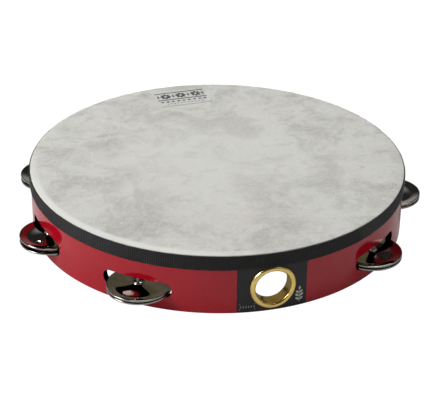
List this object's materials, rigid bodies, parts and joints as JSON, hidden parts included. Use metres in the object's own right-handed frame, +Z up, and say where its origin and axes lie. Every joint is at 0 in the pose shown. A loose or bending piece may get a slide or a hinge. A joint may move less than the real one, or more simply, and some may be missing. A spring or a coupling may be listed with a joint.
{
  "type": "tambourine",
  "caption": "Tambourine: a shallow round hoop with a flat fixed head, a finger hole lined with a metal eyelet, and pairs of metal jingles sliding on pins in slots through its wall.",
  "frame": {"origin": "under the middle of the whole object, on the plane of the hoop's open rim; the hoop's own axis stands 3.0 mm towards the finger hole", "axes": "+Z up through the head along the hoop's axis, -Y out through the finger hole, +X to the right of someone facing the finger hole"},
  "size_m": [0.281, 0.2648, 0.0424],
  "materials": {
    "hoop_core": "black-stained wood, satin",
    "shell_covering": "deep red laminate, high gloss",
    "drumhead": "mottled off-white fibre film, matt",
    "trim_band": "black ribbed woven tape",
    "label": "black satin foil sticker",
    "eyelet_brass": "bright brass plate",
    "jingle_metal": "mirror-bright dark nickel plate",
    "pin_steel": "bright drawn steel"
  },
  "bodies": {
    "shell": {"shell_core": "hoop_core", "shell_covering": "shell_covering", "drumhead": "drumhead", "trim_band": "trim_band", "label": "label", "eyelet": "eyelet_brass", "eyelet_washer": "eyelet_brass", "jingle_pin_1": "pin_steel", "jingle_pin_2": "pin_steel", "jingle_pin_3": "pin_steel", "jingle_pin_4": "pin_steel", "jingle_pin_5": "pin_steel", "jingle_pin_6": "pin_steel", "jingle_pin_7": "pin_steel", "jingle_pin_8": "pin_steel"},
    "lower_jingle_1": {"jingle_lower_1": "jingle_metal"},
    "upper_jingle_1": {"jingle_upper_1": "jingle_metal"},
    "lower_jingle_2": {"jingle_lower_2": "jingle_metal"},
    "upper_jingle_2": {"jingle_upper_2": "jingle_metal"},
    "lower_jingle_3": {"jingle_lower_3": "jingle_metal"},
    "upper_jingle_3": {"jingle_upper_3": "jingle_metal"},
    "lower_jingle_4": {"jingle_lower_4": "jingle_metal"},
    "upper_jingle_4": {"jingle_upper_4": "jingle_metal"},
    "lower_jingle_5": {"jingle_lower_5": "jingle_metal"},
    "upper_jingle_5": {"jingle_upper_5": "jingle_metal"},
    "lower_jingle_6": {"jingle_lower_6": "jingle_metal"},
    "upper_jingle_6": {"jingle_upper_6": "jingle_metal"},
    "lower_jingle_7": {"jingle_lower_7": "jingle_metal"},
    "upper_jingle_7": {"jingle_upper_7": "jingle_metal"},
    "lower_jingle_8": {"jingle_lower_8": "jingle_metal"},
    "upper_jingle_8": {"jingle_upper_8": "jingle_metal"}
  },
  "joints": [
    {"name": "lower_slide_1", "type": "slide", "parent": "shell", "child": "lower_jingle_1", "axis": [0, 0, 1], "range_m": [0, 0.00185]},
    {"name": "upper_slide_1", "type": "slide", "parent": "lower_jingle_1", "child": "upper_jingle_1", "axis": [0, 0, 1], "range_m": [-0.001, 0.0014]},
    {"name": "lower_slide_2", "type": "slide", "parent": "shell", "child": "lower_jingle_2", "axis": [0, 0, 1], "range_m": [0, 0.00185]},
    {"name": "upper_slide_2", "type": "slide", "parent": "lower_jingle_2", "child": "upper_jingle_2", "axis": [0, 0, 1], "range_m": [-0.00135, 0.00105]},
    {"name": "lower_slide_3", "type": "slide", "parent": "shell", "child": "lower_jingle_3", "axis": [0, 0, 1], "range_m": [0, 0.00185]},
    {"name": "upper_slide_3", "type": "slide", "parent": "lower_jingle_3", "child": "upper_jingle_3", "axis": [0, 0, 1], "range_m": [-0.0004, 0.002]},
    {"name": "lower_slide_4", "type": "slide", "parent": "shell", "child": "lower_jingle_4", "axis": [0, 0, 1], "range_m": [0, 0.00185]},
    {"name": "upper_slide_4", "type": "slide", "parent": "lower_jingle_4", "child": "upper_jingle_4", "axis": [0, 0, 1], "range_m": [-0.0004, 0.002]},
    {"name": "lower_slide_5", "type": "slide", "parent": "shell", "child": "lower_jingle_5", "axis": [0, 0, 1], "range_m": [0, 0.00185]},
    {"name": "upper_slide_5", "type": "slide", "parent": "lower_jingle_5", "child": "upper_jingle_5", "axis": [0, 0, 1], "range_m": [-0.0004, 0.002]},
    {"name": "lower_slide_6", "type": "slide", "parent": "shell", "child": "lower_jingle_6", "axis": [0, 0, 1], "range_m": [-0.0016, 0.00025]},
    {"name": "upper_slide_6", "type": "slide", "parent": "lower_jingle_6", "child": "upper_jingle_6", "axis": [0, 0, 1], "range_m": [-0.0023, 0.0001]},
    {"name": "lower_slide_7", "type": "slide", "parent": "shell", "child": "lower_jingle_7", "axis": [0, 0, 1], "range_m": [0, 0.00185]},
    {"name": "upper_slide_7", "type": "slide", "parent": "lower_jingle_7", "child": "upper_jingle_7", "axis": [0, 0, 1], "range_m": [-0.00235, 0.00005]},
    {"name": "lower_slide_8", "type": "slide", "parent": "shell", "child": "lower_jingle_8", "axis": [0, 0, 1], "range_m": [0, 0.00185]},
    {"name": "upper_slide_8", "type": "slide", "parent": "lower_jingle_8", "child": "upper_jingle_8", "axis": [0, 0, 1], "range_m": [-0.0007, 0.0017]}
  ]
}
